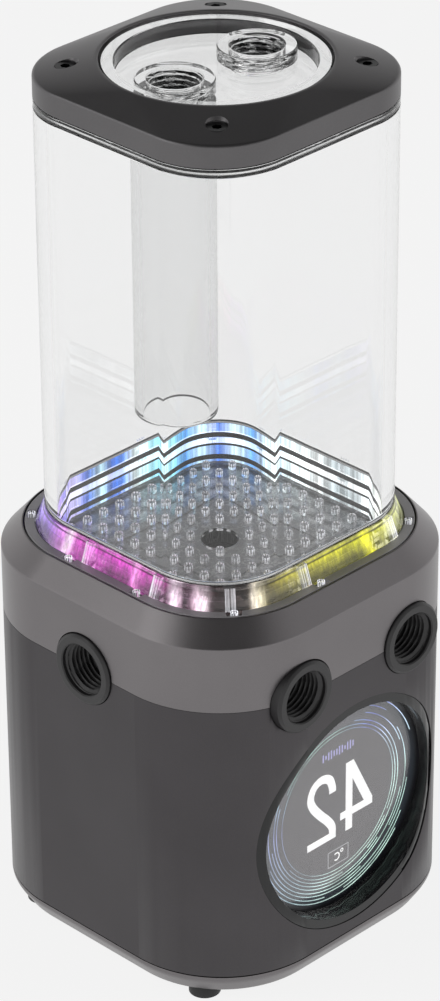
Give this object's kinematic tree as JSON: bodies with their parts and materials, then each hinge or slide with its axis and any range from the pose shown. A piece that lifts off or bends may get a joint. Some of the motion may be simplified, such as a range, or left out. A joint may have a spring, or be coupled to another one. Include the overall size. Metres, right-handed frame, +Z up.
{
  "type": "coolant pump reservoir",
  "caption": "Clear rounded-square coolant tank on a square pump base with a round display, threaded side and lid ports, a lit tank floor and a spinning impeller.",
  "frame": {"origin": "middle of the square base, level with the undersides of the feet", "axes": "+Z up along the tank; -Y out of the display face; -X out of the face with the single port"},
  "size_m": [0.093, 0.093, 0.2276],
  "materials": {
    "anodised_frame": "dark satin anodising",
    "anodised_dark": "dark satin anodising",
    "anodised_light": "grey satin anodising",
    "grey_aluminium": "machined, satin",
    "floor_metal": "brushed",
    "black_steel": "black oxide",
    "bright_steel": "bright",
    "core_steel": "laminated",
    "copper_wire": "enamelled wire",
    "clear_acrylic": "clear, polished",
    "clear_silicone": "translucent",
    "led_lens": "clear resin",
    "black_rubber": "matte",
    "black_acetal": "matte",
    "black_gloss": "gloss",
    "white_plastic": "satin",
    "white_board": "solder mask",
    "green_board": "solder mask",
    "amber_film": "film",
    "display_glass": "polished",
    "display_face": "lit screen",
    "white_ceramic": "polished",
    "carbon_bush": "carbon",
    "magnet": "ferrite"
  },
  "bodies": {
    "reservoir": {"top_frame": "anodised_frame", "top_screws": "black_steel", "lid": "clear_acrylic", "lid_seal": "clear_silicone", "drop_tube": "clear_acrylic", "tank": "clear_acrylic", "light_guide": "clear_acrylic", "guide_base": "clear_acrylic", "guide_gasket": "black_rubber", "guide_bands": "black_rubber", "guide_pegs": "clear_acrylic", "clamp_ring": "grey_aluminium", "floor_plate": "floor_metal", "pin_sheet": "clear_acrylic", "led_board": "white_board", "leds": "led_lens", "upper_cover": "anodised_light", "pump_block": "black_acetal", "block_screws": "black_steel", "front_left_port": "black_steel", "front_right_port": "black_steel", "side_port": "black_steel", "port_seals": "black_rubber", "body_shell": "anodised_dark", "display_surround": "black_gloss", "display_glass": "display_glass", "display_panel": "display_face", "display_board": "green_board", "display_retainer": "black_acetal", "display_ribbon": "amber_film", "motor_housing": "black_acetal", "motor_board": "green_board", "stator_core": "core_steel", "stator_coils": "copper_wire", "rotor_can": "bright_steel", "bearing_shaft": "white_ceramic", "shaft_cap": "bright_steel", "thrust_washer": "white_ceramic", "pump_seal": "black_rubber", "lock_ring": "grey_aluminium", "lock_screws": "black_steel", "pump_lead": "black_rubber", "control_board": "green_board", "control_chips": "black_gloss", "power_socket": "white_plastic", "data_socket": "black_gloss", "board_screws": "bright_steel", "bottom_plate": "anodised_light", "bottom_screws": "black_steel", "feet": "black_rubber"},
    "rotor": {"rotor_sleeve": "carbon_bush", "rotor_magnet": "magnet", "impeller": "white_plastic"}
  },
  "joints": [
    {"name": "impeller_spin", "type": "hinge", "parent": "reservoir", "child": "rotor", "pos_m": [0, 0, 0.0628], "axis": [0, 0, 1], "continuous": true}
  ]
}
